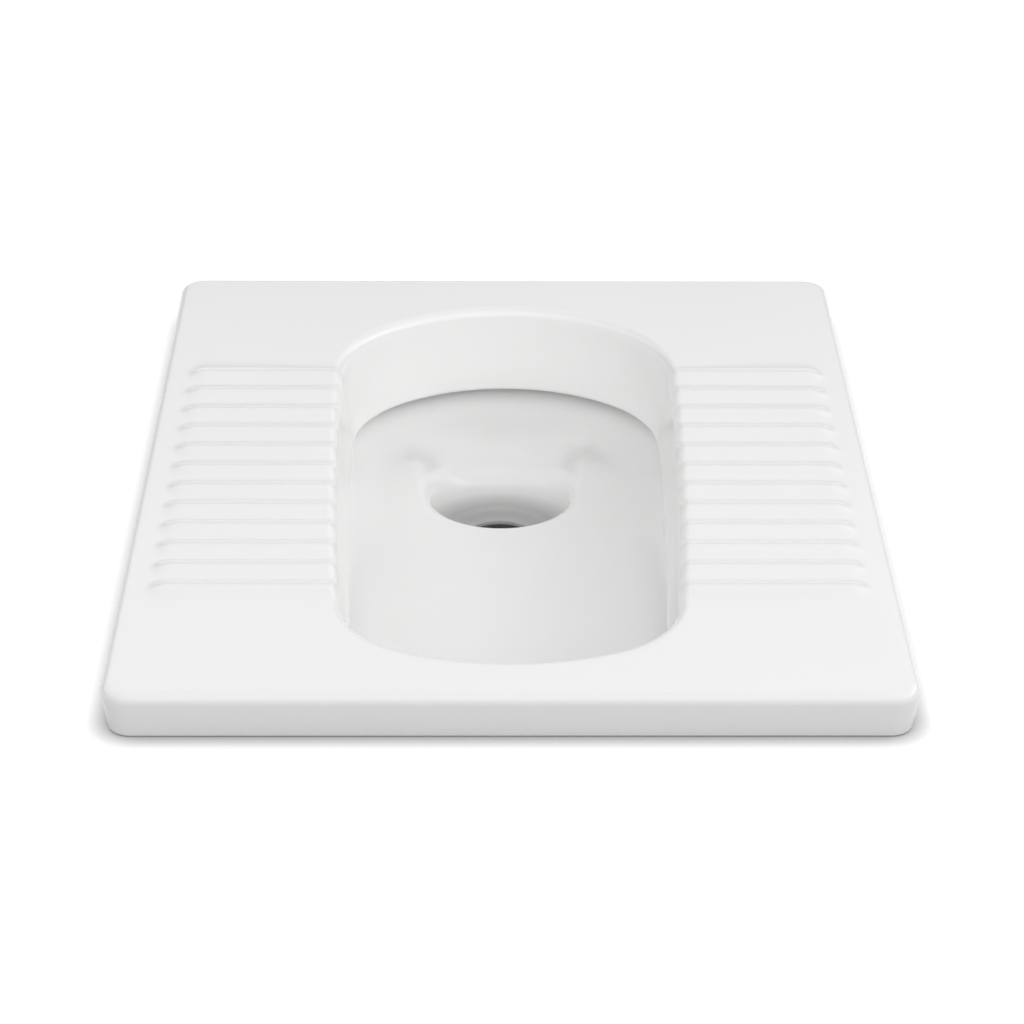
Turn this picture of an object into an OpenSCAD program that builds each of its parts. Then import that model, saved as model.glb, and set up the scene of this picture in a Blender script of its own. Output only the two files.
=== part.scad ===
// Squat toilet pan of glazed china, let into a floor up to its skirt, with its flush
// inlet bush and its drain connector.
// The origin is on the floor, in the middle of the front part of the skirt's foot. +Z is
// up and -Y is the front, the end the user faces.

/* [Foot plate] */
// Width of the plate, side to side
plate_w = 500; // [480:5:540]
// Length of the plate, front to back
plate_l = 600; // [600:5:640]
// Height of the plate's top above the floor
plate_h = 31.5; // [30:0.5:36]
// Thickness of the china in the plate
plate_t = 11; // [9:0.5:12]
// Plan radius of the plate's corners
plate_corner_r = 18; // [16:1:26]
// Rounding of the plate's top edge
edge_r = 6; // [4:0.5:8]
// Rounding of the skirt's bottom edge
foot_r = 2.5; // [1:0.5:4]
// Angle at which the skirt leans in towards the floor
skirt_draft = 8; // [0:1:10]
// Width of the skirt's foot
skirt_t = 14; // [12:1:16]

/* [Bowl opening] */
// Distance from the middle of the plate to the opening's back end
opening_back = 242; // [238:1:244]
// Distance from the middle of the plate to the opening's front end
opening_front = 257.5; // [250:0.5:258]
// Radius between the back end and the sides
back_corner_r = 93; // [90:1:96]
// A fifth of the distance between the centres of the back end and its corner
back_step = 8.6; // [8:0.1:9]
// Radius between the front end and the sides
front_corner_r = 68; // [65:1:72]
// Rounding of the opening's lip
lip_r = 7.5; // [5:0.5:9]

/* [Flush rim] */
// Depth of the rim curtain's lower edge below the plate's top
curtain_drop = 65.5; // [55:0.5:68]
// Distance by which the curtain's lower edge stands inside the lip
curtain_lean = 6; // [2:0.5:10]
// Radius of the curtain's lower edge
curtain_edge_r = 4; // [3:0.5:5]
// Thickness of the curtain where it leaves the plate
curtain_root_t = 10; // [9:0.5:12]
// Distance from the lip to the outer wall of the flush channel
channel_reach = 24; // [20:1:26]

/* [Bowl] */
// Depth of the bowl's floor at the sump, below the plate's top
bowl_depth = 89.5; // [84:0.5:100]
// Radius of the bowl's side walls
bowl_wall_r = 60; // [50:1:64]
// Angle at which the floor falls towards the back
floor_fall = 1.5; // [0:0.5:2]
// Thickness of the china in the bowl
wall_t = 9; // [7:0.5:10]

/* [Sump and outlet] */
// Distance of the outlet behind the middle of the plate
outlet_y = 118; // [105:1:125]
// Sideways place of the outlet
outlet_x = -4; // [-6:0.5:6]
// Radius at which the bowl's floor starts to roll into the sump
sump_r = 60; // [57:0.5:62]
// Rounding of the sump's mouth
mouth_r = 9; // [7:0.5:11]
// Depth of the ledge round the outlet hole, below the bowl's floor
ledge_depth = 38.4; // [33.6:0.24:40.8]
// Radius between the sump's wall and the ledge
ledge_fillet_r = 6; // [4:0.5:8]
// Radius of the outlet hole in the ledge
outlet_hole_r = 26; // [22:0.5:30]
// Outer radius of the outlet spigot
spigot_r = 51; // [50:0.5:53]
// Depth of the spigot's end below the plate's top
spigot_depth = 196; // [185:1:210]

/* [Footrest ribs] */
// Number of ribs on each side
rib_count = 12; // [8:1:12]
// Width of a rib
rib_w = 22; // [18:0.5:24]
// Height of a rib above the plate
rib_h = 3; // [2:0.5:4]
// Distance of the rearmost rib behind the middle of the plate
first_rib_y = 131.5; // [120:0.5:135]
// Distance between the two rearmost ribs
rib_pitch = 29.6; // [26:0.1:30]
// Change of that distance from one rib to the next
rib_pitch_step = -0.375; // [-0.4:0.025:0]
// Distance from the ribs' outer ends to the plate's side
rib_margin = 19; // [15:0.5:30]

/* [Flush inlet] */
// Height of the inlet's axis above the floor
inlet_z = -12; // [-14:0.5:-10]
// Radius of the horn's socket
socket_r = 23; // [20:0.5:24]
// Depth of the horn's socket
socket_depth = 30; // [24:1:32]
// Radius of the water way from the socket to the flush channel
water_way_r = 17; // [12:0.5:18]
// Distance that the horn stands out behind the plate
horn_out = 12; // [6:1:14]
// Outer radius of the flush pipe that the bush takes
flush_pipe_r = 16; // [14:0.5:16]

/* [Drain connector] */
// Outer radius of the connector's drain end
drain_pipe_r = 55; // [50:0.5:56]
// Length of the connector's drain end
drain_end_len = 60; // [45:1:80]
// Wall thickness of the connector
connector_t = 3.5; // [3:0.1:4]
// Length of spigot that the connector's socket covers
socket_cover = 38; // [30:1:45]
// Gap between the spigot and the socket's wall, filled by the seal
seal_gap = 7; // [5:0.5:8]

/* [Hidden] */
$fn = 96;

china = [0.93, 0.93, 0.92];
black_rubber = [0.12, 0.12, 0.13];
grey_plastic = [0.62, 0.63, 0.64];

// Extra length of a cutter past the face that it cuts
over = 2;
// Least length by which a cone passes the face that it opens
hair = 0.01;
// Distance of the origin inside the plate's front edge, on the skirt's foot
seat_inset = 10;
// Gap beside the horn where the skirt is notched for it, and the notch's height
notch_gap = 4;
notch_h = 6;
// Level of the plate's underside, which is also the flush channel's roof
roof_z = plate_h - plate_t;
// Level of the bowl's floor beside the sump
floor_z = plate_h - bowl_depth;
// Centre of the bowl's wall arc, measured from the opening's outline
wall_x = channel_reach - bowl_wall_r;
wall_z = floor_z + bowl_wall_r;
// Level up to which the bowl's wall is drawn before it is cut to its height
wall_top = plate_h + 20;
// Height and depth that every cutter covers
tall = 300;
// Distance by which the plate starts outside the rolled lip's crest
lip_lap = 1;
// Distance that the swept parts reach inside the outline
reach = 52;
// Distance inside the outline at which the bowl's middle takes over
middle_inset = 44;
// Level of the ledge round the outlet hole
ledge_z = floor_z - ledge_depth;
// Outer radius of the flush inlet's horn
horn_r = socket_r + wall_t - 1;
// Level of the spigot's lower end
spigot_z = plate_h - spigot_depth;
// Way down the sump's wall, which is 7 in and 24 down at a length of 25
sump_way = [0.28, 0.96];
// Thickening of the spigot up to the bowl's floor
cup_flare = 10;
// Place behind the middle of the plate about which the bowl is turned
fall_y = 117;
// Clearance of the stiffening webs above the floor
web_lift = 6;
// Thickness of the stiffening webs
web_t = 10;
// Places of the stiffening webs, as shares of the plate's length
web_places = [-0.27, -0.09, 0.09, 0.22];
// The ribs' depth in the plate and the roll of their inner ends
rib_root = 4.5;
rib_roll_r = 9.5;
rib_roll_in = 1;
rib_roll_lift = 0.3;
// The bush's gripping rings and flange
bush_rings = 4;
bush_ring_h = 1.5;
bush_flange = 5;
bush_flange_t = 3;
// Gap between the spigot's end and the connector's shoulder
spigot_rest = 3;
// Height of the connector's neck
connector_neck = 18;
// Chamfer of the connector's drain end
drain_chamfer = 6;
// The seal's sleeve, lips and collar
seal_sleeve_t = 2.5;
seal_lips = 3;
seal_lip_t = 1.6;
collar_drop = 8;

function polar(r, a) = [r * cos(a), r * sin(a)];

// Direction from the middle of a circle to its touching point with the line that rests
// on this circle and the next one. Side 1 is left of the way from c1 to c2, -1 right.
function touch_angle(c1, r1, c2, r2, side) =
    let (d = c2 - c1)
    atan2(d.y, d.x) + side * acos((r1 - r2) / norm(d));

// The outline of the opening is drawn with arcs only. The centres of two arcs that
// touch lie on the long side of a triangle with whole sides, so that every number is
// exact: 3, 4 and 5 steps at the back, 29, 420 and 421 at the side, which is nearly
// straight, and 5, 12 and 13 at the front. The front step follows from the length.
front_step = round(500 * (88 * back_step + 30 * back_corner_r - 28 * front_corner_r
    - opening_back - opening_front) / 144) / 500;
back_way = back_step * [3, 4];
front_way = front_step * [5, -12];
side_step = back_way.x + back_corner_r - front_corner_r - front_way.x;
side_way = side_step * [420, -29];
back_end_r = back_corner_r + 5 * back_step;
side_r = front_corner_r + 421 * side_step;
front_end_r = front_corner_r + 13 * front_step;

back_c = [0, opening_back - back_end_r];
back_corner_c = back_c + back_way;
side_c = back_corner_c - [side_r - back_corner_r, 0];
front_corner_c = side_c + side_way;
front_c = [0, front_corner_c.y - front_way.y];

// Points past the swept parts, on the lines between the arcs
far_x = 200;
back_far = back_c + 6 * back_way;
side_far = front_corner_c + 0.3 * [420, -29];
front_far = front_c + 3 * front_way;
// Start, angle and fineness with which the very wide side arc is turned
side_turn = [-6, 8, 2880];

// The arcs of the right half: centre, radius and the wedge that bounds the arc
half_arcs = [
    [back_c, back_end_r, [back_c, back_far, [0, back_far.y]]],
    [back_corner_c, back_corner_r,
        [back_corner_c, [far_x, back_corner_c.y], [far_x, back_far.y], back_far]],
    [side_c, side_r,
        [back_corner_c, [far_x, back_corner_c.y], side_far, front_corner_c]],
    [front_corner_c, front_corner_r,
        [front_corner_c, front_far, [side_far.x, front_far.y], side_far]],
    [front_c, front_end_r, [front_c, front_far, [0, front_far.y]]]
];

// Sweeps a section round the opening. In the section, x is the distance outside the
// opening's outline and y is the height.
module round_opening() {
    for (side = [0, 1])
        mirror([side, 0, 0])
            for (a = half_arcs)
                intersection() {
                    translate(a[0])
                        ring(a[1])
                            children();
                    translate([0, 0, -tall])
                        linear_extrude(2 * tall)
                            polygon(a[2]);
                }
}

// Turns a section about Z. A very wide arc is turned only through the angle it needs.
module ring(r) {
    wide = r > plate_l;
    section_fn = $fn;
    rotate_extrude(
        start = wide ? side_turn[0] : 0,
        angle = wide ? side_turn[1] : 360,
        $fn = wide ? side_turn[2] : $fn
    )
        let ($fn = section_fn)
            translate([r, 0])
                children();
}

// Prism under the middle of the opening, whose edge lies inside the swept parts
module opening_middle(low, high) {
    right = [
        front_c + front_way * (front_end_r - middle_inset) / norm(front_way),
        front_corner_c + [front_corner_r - middle_inset, 0],
        back_corner_c + [back_corner_r - middle_inset, 0],
        back_c + back_way * (back_end_r - middle_inset) / norm(back_way)
    ];
    translate([0, 0, low])
        linear_extrude(high - low)
            polygon(concat(
                [[0, middle_inset - opening_front]],
                right,
                [[0, opening_back - middle_inset]],
                [for (i = [3 : -1 : 0]) [-right[i].x, right[i].y]]
            ));
}

// Flat block with round corners in plan
module rounded_slab(w, l, r, h) {
    translate([-w / 2 + r, -l / 2, 0])
        cube([w - 2 * r, l, h]);
    translate([-w / 2, -l / 2 + r, 0])
        cube([w, l - 2 * r, h]);
    for (x = [-1, 1], y = [-1, 1])
        translate([x * (w / 2 - r), y * (l / 2 - r), 0])
            cylinder(r = r, h = h);
}

// Section of the plate's border: x = 0 is the middle of the corner arcs
module border_section() {
    top = [plate_corner_r - edge_r, plate_h - edge_r];
    low_y = foot_r - top.y;
    low = [top.x + (edge_r - foot_r + sin(skirt_draft) * low_y) / cos(skirt_draft), foot_r];
    translate(top)
        circle(edge_r);
    translate(low)
        circle(foot_r);
    polygon([
        [0, 0],
        [low.x, 0],
        low + polar(foot_r, -skirt_draft),
        top + polar(edge_r, -skirt_draft),
        [top.x, plate_h],
        [0, plate_h]
    ]);
}

module plate_block() {
    w = plate_w - 2 * plate_corner_r;
    l = plate_l - 2 * plate_corner_r;
    translate([-w / 2, -l / 2, 0])
        cube([w, l, plate_h]);
    for (quarter = [0 : 3]) {
        across = quarter % 2 == 0 ? w : l;
        along = quarter % 2 == 0 ? l : w;
        rotate(90 * quarter) {
            translate([across / 2, along / 2, 0])
                rotate_extrude(angle = 90)
                    border_section();
            translate([across / 2, along / 2, 0])
                rotate([90, 0, 0])
                    linear_extrude(along)
                        border_section();
        }
    }
}

// Turns the bowl and its sump together, so that the floor falls to the back
module fallen() {
    translate([0, fall_y, floor_z])
        rotate([-floor_fall, 0, 0])
            translate([0, -fall_y, -floor_z])
                children();
}

// Section of the bowl's side: a quarter circle with a straight part above it
module bowl_section(r) {
    intersection() {
        translate([wall_x, wall_z])
            circle(r);
        translate([wall_x, wall_z - r])
            square(r);
    }
    translate([wall_x, wall_z])
        square([r, wall_top - wall_z]);
    translate([-reach, wall_z - r])
        square([reach + wall_x, wall_top - wall_z + r]);
}

// The bowl up to a level, as one body with walls at a radius
module bowl_body(r, top) {
    intersection() {
        fallen() {
            round_opening()
                bowl_section(r);
            opening_middle(wall_z - r, wall_top);
        }
        translate([-plate_w / 2, -plate_l / 2, top - tall])
            cube([plate_w, plate_l, tall]);
    }
}

// Tapered bar with a rolled lip at its top and a round lower edge
module curtain_section() {
    lip = [lip_r, plate_h - lip_r];
    low = [curtain_edge_r - curtain_lean, plate_h - curtain_drop + curtain_edge_r];
    inside = touch_angle(lip, lip_r, low, curtain_edge_r, -1);
    root = [curtain_root_t, roof_z];
    outside = touch_angle(low, curtain_edge_r, root, 0, -1);
    translate(lip)
        circle(lip_r);
    translate(low)
        circle(curtain_edge_r);
    polygon([
        lip,
        lip + polar(lip_r, inside),
        low + polar(curtain_edge_r, inside),
        low,
        low + polar(curtain_edge_r, outside),
        root,
        [root.x, plate_h],
        [lip.x, plate_h]
    ]);
}

// What is open inside the lip
module lip_void() {
    round_opening()
        translate([-reach, wall_z])
            square([reach + lip_r + lip_lap, plate_h + over - wall_z]);
    opening_middle(wall_z, plate_h + over);
}

// Rolled mouth, sloping wall and ledge of the sump, as a hollow
module sump_void() {
    low = ledge_z - floor_z;
    mouth = [sump_r, -mouth_r];
    wall_start = mouth + mouth_r * [-sump_way.y, sump_way.x];
    drop = wall_start.y - low - (1 - sump_way.x) * ledge_fillet_r;
    wall_end = wall_start - drop * [7 / 24, 1];
    fillet = wall_end + ledge_fillet_r * [-sump_way.y, sump_way.x];
    translate([outlet_x, outlet_y, floor_z])
        rotate_extrude()
            difference() {
                union() {
                    polygon([
                        [0, low],
                        [fillet.x, low],
                        fillet,
                        wall_end,
                        wall_start,
                        mouth,
                        [sump_r, over],
                        [0, over]
                    ]);
                    translate(fillet)
                        circle(ledge_fillet_r);
                }
                translate(mouth)
                    circle(mouth_r);
            }
}

// Hole in the ledge and the wider bore of the spigot
module outlet_void() {
    bore_r = spigot_r - wall_t;
    flare_top = ledge_z - wall_t;
    flare_low = flare_top - (bore_r - outlet_hole_r);
    translate([outlet_x, outlet_y, 0]) {
        translate([0, 0, flare_low])
            cylinder(r = outlet_hole_r, h = ledge_z - flare_low + over);
        translate([0, 0, flare_low])
            cylinder(r1 = bore_r, r2 = outlet_hole_r, h = flare_top - flare_low);
        translate([0, 0, spigot_z - over])
            cylinder(r = bore_r, h = flare_low - spigot_z + over);
    }
}

// Spigot, thicker round the sump above the ledge
module spigot_solid() {
    cup_z = ledge_z - wall_t;
    translate([outlet_x, outlet_y, 0]) {
        translate([0, 0, spigot_z])
            cylinder(r = spigot_r, h = cup_z - spigot_z);
        translate([0, 0, cup_z])
            cylinder(r1 = spigot_r, r2 = spigot_r + cup_flare, h = floor_z - cup_z);
    }
}

module horn_solid() {
    inner_y = opening_back + curtain_root_t;
    translate([0, inner_y, inlet_z])
        rotate([-90, 0, 0])
            cylinder(r = horn_r, h = plate_l / 2 + horn_out - inner_y);
}

// Notch in the skirt's foot, which keeps the foot clear of the horn
module horn_notch() {
    half_w = horn_r + notch_gap;
    translate([-half_w, plate_l / 2 - skirt_t - over, -over])
        cube([2 * half_w, skirt_t + 2 * over, notch_h + over]);
}

module horn_void() {
    mouth_y = plate_l / 2 + horn_out;
    translate([0, mouth_y - socket_depth, inlet_z])
        rotate([-90, 0, 0])
            cylinder(r = socket_r, h = socket_depth + over);
    translate([0, opening_back + curtain_root_t, inlet_z])
        rotate([-90, 0, 0])
            cylinder(r = water_way_r, h = mouth_y - opening_back - curtain_root_t - over);
}

module underside_void() {
    translate([0, 0, -over])
        rounded_slab(
            plate_w - 2 * skirt_t,
            plate_l - 2 * skirt_t,
            plate_corner_r - skirt_t / 2,
            roof_z + over
        );
}

// Webs under the plate, each from the skirt into the bowl's wall
module webs() {
    for (side = [0, 1], place = web_places) {
        y = place * plate_l;
        inner_x = side_c.x + sqrt(pow(side_r, 2) - pow(y - side_c.y, 2))
            + channel_reach + wall_t / 2;
        mirror([side, 0, 0])
            translate([inner_x, y - web_t / 2, web_lift])
                cube([
                    plate_w / 2 - skirt_t / 2 - inner_x,
                    web_t,
                    plate_h - plate_t / 2 - web_lift
                ]);
    }
}

// Soft bars across the plate, round at their outer ends and rolled into the lip
module ribs() {
    r = (pow(rib_w / 2, 2) + pow(rib_h, 2)) / (2 * rib_h);
    root_z = plate_h - rib_root;
    end_x = plate_w / 2 - rib_margin - rib_w / 2;
    inner_x = (back_corner_c.x + back_corner_r) / 2;
    top_z = plate_h + rib_h + rib_roll_lift;
    roll = [rib_roll_in + rib_roll_r, top_z - rib_roll_r];
    difference() {
        intersection() {
            for (i = [0 : rib_count - 1], side = [-1, 1]) {
                y = first_rib_y - i * rib_pitch - rib_pitch_step * i * (i - 1) / 2;
                translate([side * end_x, y, plate_h + rib_h - r])
                    rotate([0, -side * 90, 0])
                        rotate_extrude() {
                            intersection() {
                                circle(r);
                                translate([0, -r])
                                    square(r);
                            }
                            square([r, end_x - inner_x]);
                        }
            }
            translate([-plate_w / 2, -plate_l / 2, root_z])
                cube([plate_w, plate_l, rib_h + rib_root + over]);
        }
        round_opening()
            difference() {
                translate([-reach - lip_r, root_z - over])
                    square([reach + lip_r + roll.x, top_z - root_z + 2 * over]);
                translate(roll)
                    circle(rib_roll_r);
                translate([roll.x - rib_roll_r, root_z - 2 * over])
                    square([rib_roll_r + over, roll.y - root_z + 2 * over]);
            }
    }
}

// Moves what is drawn about the middle of the plate to its place in the frame
module seated() {
    translate([0, plate_l / 2 - seat_inset, 0])
        children();
}

module pan() {
    color(china)
        seated() {
            difference() {
                union() {
                    difference() {
                        plate_block();
                        underside_void();
                        horn_notch();
                    }
                    bowl_body(bowl_wall_r + wall_t, plate_h - plate_t / 2);
                    spigot_solid();
                    horn_solid();
                }
                bowl_body(bowl_wall_r, roof_z);
                lip_void();
                fallen()
                    sump_void();
                outlet_void();
                horn_void();
            }
            webs();
            round_opening()
                curtain_section();
            ribs();
        }
}

// Rubber bush: a sleeve with gripping rings outside, a flange and a flared mouth
module flush_inlet_bush() {
    sleeve_len = socket_depth - over;
    sleeve_r = socket_r - bush_ring_h;
    ring_pitch = sleeve_len / bush_rings;
    ring_w = ring_pitch / 2;
    color(black_rubber)
        seated()
            translate([0, plate_l / 2 + horn_out, inlet_z])
                rotate([-90, 0, 0])
                    difference() {
                        union() {
                            translate([0, 0, -sleeve_len])
                                cylinder(r = sleeve_r, h = sleeve_len);
                            for (i = [0 : bush_rings - 1])
                                translate([0, 0, -sleeve_len + i * ring_pitch])
                                    cylinder(r1 = sleeve_r, r2 = socket_r, h = ring_w);
                            cylinder(r = socket_r + bush_flange, h = bush_flange_t);
                        }
                        translate([0, 0, -sleeve_len - over])
                            cylinder(r = flush_pipe_r, h = sleeve_len + bush_flange_t + 2 * over);
                        cylinder(
                            r1 = flush_pipe_r,
                            r2 = flush_pipe_r + bush_flange_t,
                            h = bush_flange_t + hair
                        );
                    }
}

// Plastic body: a wide socket, a shoulder and the drain end with a chamfer
module drain_connector() {
    socket_in = spigot_r + seal_gap;
    drain_in = drain_pipe_r - connector_t;
    rim = spigot_z + socket_cover;
    shoulder = spigot_z - spigot_rest;
    neck = shoulder - connector_neck;
    end = neck - drain_end_len;
    color(grey_plastic)
        seated()
            translate([outlet_x, outlet_y, 0])
                rotate_extrude()
                    polygon([
                        [drain_in, end],
                        [drain_pipe_r - drain_chamfer / 4, end],
                        [drain_pipe_r, end + drain_chamfer],
                        [drain_pipe_r, neck],
                        [socket_in + connector_t, shoulder],
                        [socket_in + connector_t, rim],
                        [socket_in, rim],
                        [socket_in, shoulder],
                        [drain_in, neck]
                    ]);
}

// Rubber sleeve in the socket, with a collar over its rim and lips on the spigot
module connector_seal() {
    socket_in = spigot_r + seal_gap;
    rim = spigot_z + socket_cover;
    sleeve_in = socket_in - seal_sleeve_t;
    collar_r = socket_in + connector_t + seal_sleeve_t;
    low = spigot_z + over;
    lip_pitch = (rim - low) / seal_lips;
    color(black_rubber)
        seated()
            translate([outlet_x, outlet_y, 0])
                rotate_extrude() {
                    translate([sleeve_in, low])
                        square([seal_sleeve_t, rim - low]);
                    translate([sleeve_in, rim])
                        square([collar_r - sleeve_in, seal_sleeve_t]);
                    translate([socket_in + connector_t, rim - collar_drop])
                        square([seal_sleeve_t, collar_drop]);
                    for (i = [1 : seal_lips])
                        translate([0, low + i * lip_pitch])
                            polygon([
                                [sleeve_in, 0],
                                [spigot_r, -lip_pitch / 2],
                                [spigot_r, -lip_pitch / 2 - seal_lip_t],
                                [sleeve_in, -seal_lip_t]
                            ]);
                }
}

pan();
flush_inlet_bush();
drain_connector();
connector_seal();
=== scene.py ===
"""Squat toilet pan of white glazed china, with its flush inlet bush, drain connector and seal.

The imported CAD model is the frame. The pan is modelled again with a fine, smooth surface from the
same sizes, with the shallow chute behind its sump that the solids leave out. The small fittings
are turned again with rounded edges. Sizes are in millimetres unless metres are named, and
Blender's are in metres.
"""

import math

import bpy
from mathutils import Matrix, Vector


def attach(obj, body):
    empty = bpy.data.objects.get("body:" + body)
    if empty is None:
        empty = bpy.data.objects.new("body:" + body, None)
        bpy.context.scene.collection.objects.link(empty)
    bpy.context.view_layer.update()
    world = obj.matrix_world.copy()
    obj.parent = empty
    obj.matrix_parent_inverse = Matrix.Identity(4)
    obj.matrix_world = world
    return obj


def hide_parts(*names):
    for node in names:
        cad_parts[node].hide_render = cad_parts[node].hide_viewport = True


bl_info = {
    "name": "Squat Toilet Pan",
    "version": (1, 0, 0),
    "blender": (4, 5, 0),
    "location": "3D View > Sidebar > Squat Pan",
    "description": "Models and glazes a squat toilet pan with its inlet and drain fittings",
    "category": "Add Mesh",
}

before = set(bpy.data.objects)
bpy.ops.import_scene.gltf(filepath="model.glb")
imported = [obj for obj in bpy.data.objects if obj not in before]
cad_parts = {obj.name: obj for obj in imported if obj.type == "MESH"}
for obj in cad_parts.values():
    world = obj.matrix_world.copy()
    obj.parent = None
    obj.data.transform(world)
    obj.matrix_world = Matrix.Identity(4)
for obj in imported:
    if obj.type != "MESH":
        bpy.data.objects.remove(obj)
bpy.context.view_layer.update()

MM = 0.001

# Sizes shared with the solids, in millimetres
PLATE_W, PLATE_L, PLATE_H, PLATE_T = 500.0, 600.0, 31.5, 11.0
PLATE_CORNER_R, EDGE_R, FOOT_R = 18.0, 6.0, 2.5
SKIRT_DRAFT, SKIRT_T = 8.0, 14.0
OPENING_BACK, OPENING_FRONT = 242.0, 257.5
BACK_CORNER_R, BACK_STEP, FRONT_CORNER_R = 93.0, 8.6, 68.0
LIP_R = 7.5
CURTAIN_DROP, CURTAIN_LEAN, CURTAIN_EDGE_R, CURTAIN_ROOT_T = 65.5, 6.0, 4.0, 10.0
CHANNEL_REACH = 24.0
BOWL_DEPTH, BOWL_WALL_R, FLOOR_FALL, WALL_T = 89.5, 60.0, 1.5, 9.0
FALL_Y, OUTLET_X, OUTLET_Y = 117.0, -4.0, 118.0
SUMP_R, MOUTH_R, LEDGE_DEPTH, LEDGE_FILLET_R = 60.0, 9.0, 38.4, 6.0
SUMP_WAY = (0.28, 0.96)
OUTLET_HOLE_R, SPIGOT_R, SPIGOT_DEPTH, CUP_FLARE = 26.0, 51.0, 196.0, 10.0
RIB_COUNT, RIB_W, RIB_H, FIRST_RIB_Y = 12, 22.0, 3.0, 131.5
RIB_PITCH, RIB_PITCH_STEP, RIB_MARGIN = 29.6, -0.375, 19.0
INLET_Z, SOCKET_R, SOCKET_DEPTH, WATER_WAY_R, HORN_OUT = -12.0, 23.0, 30.0, 17.0, 12.0
WEB_PLACES = (-0.27, -0.09, 0.09, 0.22)
WEB_T, WEB_LIFT = 10.0, 6.0
NOTCH_GAP, NOTCH_H = 4.0, 6.0
FLUSH_PIPE_R, DRAIN_PIPE_R = 16.0, 55.0
CONNECTOR_GAP, CONNECTOR_RISE, CONNECTOR_T = 7.0, 38.0, 3.5

# Sizes that only this finer surface has
# The chute's slope in degrees, half width at the sump, growth with distance, width of flanks
CHUTE_FALL, CHUTE_HALF_W, CHUTE_FLARE, CHUTE_FLANK = 9.5, 62.0, 0.45, 34.0
# Where the chute runs out beside the sump, as shares of the sump's radius behind its middle
CHUTE_BRINK, CHUTE_FADE = 0.9, 0.85
# How much more the sump's mouth is rolled at the back, and how far before its sides that starts
BACK_ROLL, ROLL_LEAD = 1.35, 0.2
# A rib's growth at its foot, the power of its shape and its run over the lip in degrees
RIB_SPREAD, RIB_POWER, RIB_LIP_TURN = 1.6, 1.7, 62.0
# The bowl's wall leaves the tilt of its floor from this level up, over this height
TILTED_UP_TO, TILT_RUN = 2.0, 10.0
# Front limit of the bowl's outside, which keeps it off the skirt, and what it gives below the skirt
SHELL_FRONT, SHELL_FRONT_GIVE = -285.5, 8.0
# Round of the inner corners under the plate, chamfer inside the foot, bevel of the hidden blocks
INNER_R, FOOT_CHAMFER, BLOCK_BEVEL = 3.0, 0.8, 1.2
# Thickness and round of the outlet hole's edge, and the width of the slope under it
OUTLET_EDGE_T, OUTLET_EDGE_R, OUTLET_SLOPE = 3.5, 1.5, 6.0

# Distance of the frame's origin in front of the middle of the plate
SEAT = PLATE_L / 2 - 10

ROOF_Z = PLATE_H - PLATE_T
FLOOR_Z = PLATE_H - BOWL_DEPTH
WALL_X = CHANNEL_REACH - BOWL_WALL_R
WALL_Z = FLOOR_Z + BOWL_WALL_R
LEDGE_Z = FLOOR_Z - LEDGE_DEPTH
CUP_Z = LEDGE_Z - WALL_T
SPIGOT_Z = PLATE_H - SPIGOT_DEPTH
HORN_R = SOCKET_R + WALL_T - 1
CONNECTOR_R = SPIGOT_R + CONNECTOR_GAP
CONNECTOR_RIM_Z = SPIGOT_Z + CONNECTOR_RISE
# The flat floor starts this far outside the opening's outline, a minus sign meaning inside
INSET = -52.0

FLOOR_STEPS, PLATE_STEPS = 7, 44
# Width of the band of points that is spun before each point is put in its place
SPUN_BAND = 80.0


# ---------------------------------------------------------------- the opening's outline


class Arc:
    """One arc of the right half of the opening, from its first angle to its last."""

    def __init__(self, centre, radius, first, last, steps):
        self.centre = Vector(centre)
        self.radius = radius
        self.first = first
        self.last = last
        self.steps = steps

    def normal(self, share):
        angle = math.radians(self.first + (self.last - self.first) * share)
        return Vector((math.cos(angle), math.sin(angle)))

    def point(self, share):
        return self.centre + self.normal(share) * self.radius


def opening_arcs():
    """The five arcs of the right half, from the middle of the front to the middle of the back.

    They meet in directions of the triangles 5, 12, 13 and 29, 420, 421 and 3, 4, 5, so that all
    centres have plain coordinates. A step is how far neighbouring centres are apart, in units of
    the triangle, and the front one follows from the opening's length.
    """
    front_step = (
        round(
            500
            * (
                88 * BACK_STEP
                + 30 * BACK_CORNER_R
                - 28 * FRONT_CORNER_R
                - OPENING_BACK
                - OPENING_FRONT
            )
            / 144
        )
        / 500
    )
    back_r = BACK_CORNER_R + 5 * BACK_STEP
    front_r = FRONT_CORNER_R + 13 * front_step
    side_step = 3 * BACK_STEP + BACK_CORNER_R - FRONT_CORNER_R - 5 * front_step
    side_r = FRONT_CORNER_R + 421 * side_step
    back_c = Vector((0.0, OPENING_BACK - back_r))
    back_corner_c = back_c + Vector((3, 4)) * BACK_STEP
    side_c = back_corner_c - Vector((side_r - BACK_CORNER_R, 0))
    front_corner_c = side_c + Vector((420, -29)) * side_step
    front_c = Vector((0.0, front_corner_c.y + 12 * front_step))
    front_turn = -90 + math.degrees(math.atan2(5, 12))
    side_turn = -math.degrees(math.atan2(29, 420))
    back_turn = math.degrees(math.atan2(4, 3))
    return [
        Arc(front_c, front_r, -90, front_turn, 12),
        Arc(front_corner_c, FRONT_CORNER_R, front_turn, side_turn, 30),
        Arc(side_c, side_r, side_turn, 0, 122),
        Arc(back_corner_c, BACK_CORNER_R, 0, back_turn, 28),
        Arc(back_c, back_r, back_turn, 90, 18),
    ]


ARCS = opening_arcs()
FRONT_COLUMNS = ARCS[0].steps + ARCS[1].steps
SIDE_COLUMNS = FRONT_COLUMNS + ARCS[2].steps
LAST_COLUMN = SIDE_COLUMNS + ARCS[3].steps + ARCS[4].steps
CORNER_COLUMNS = 12
FRONT_RUN, BACK_RUN = 12, 14


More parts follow.
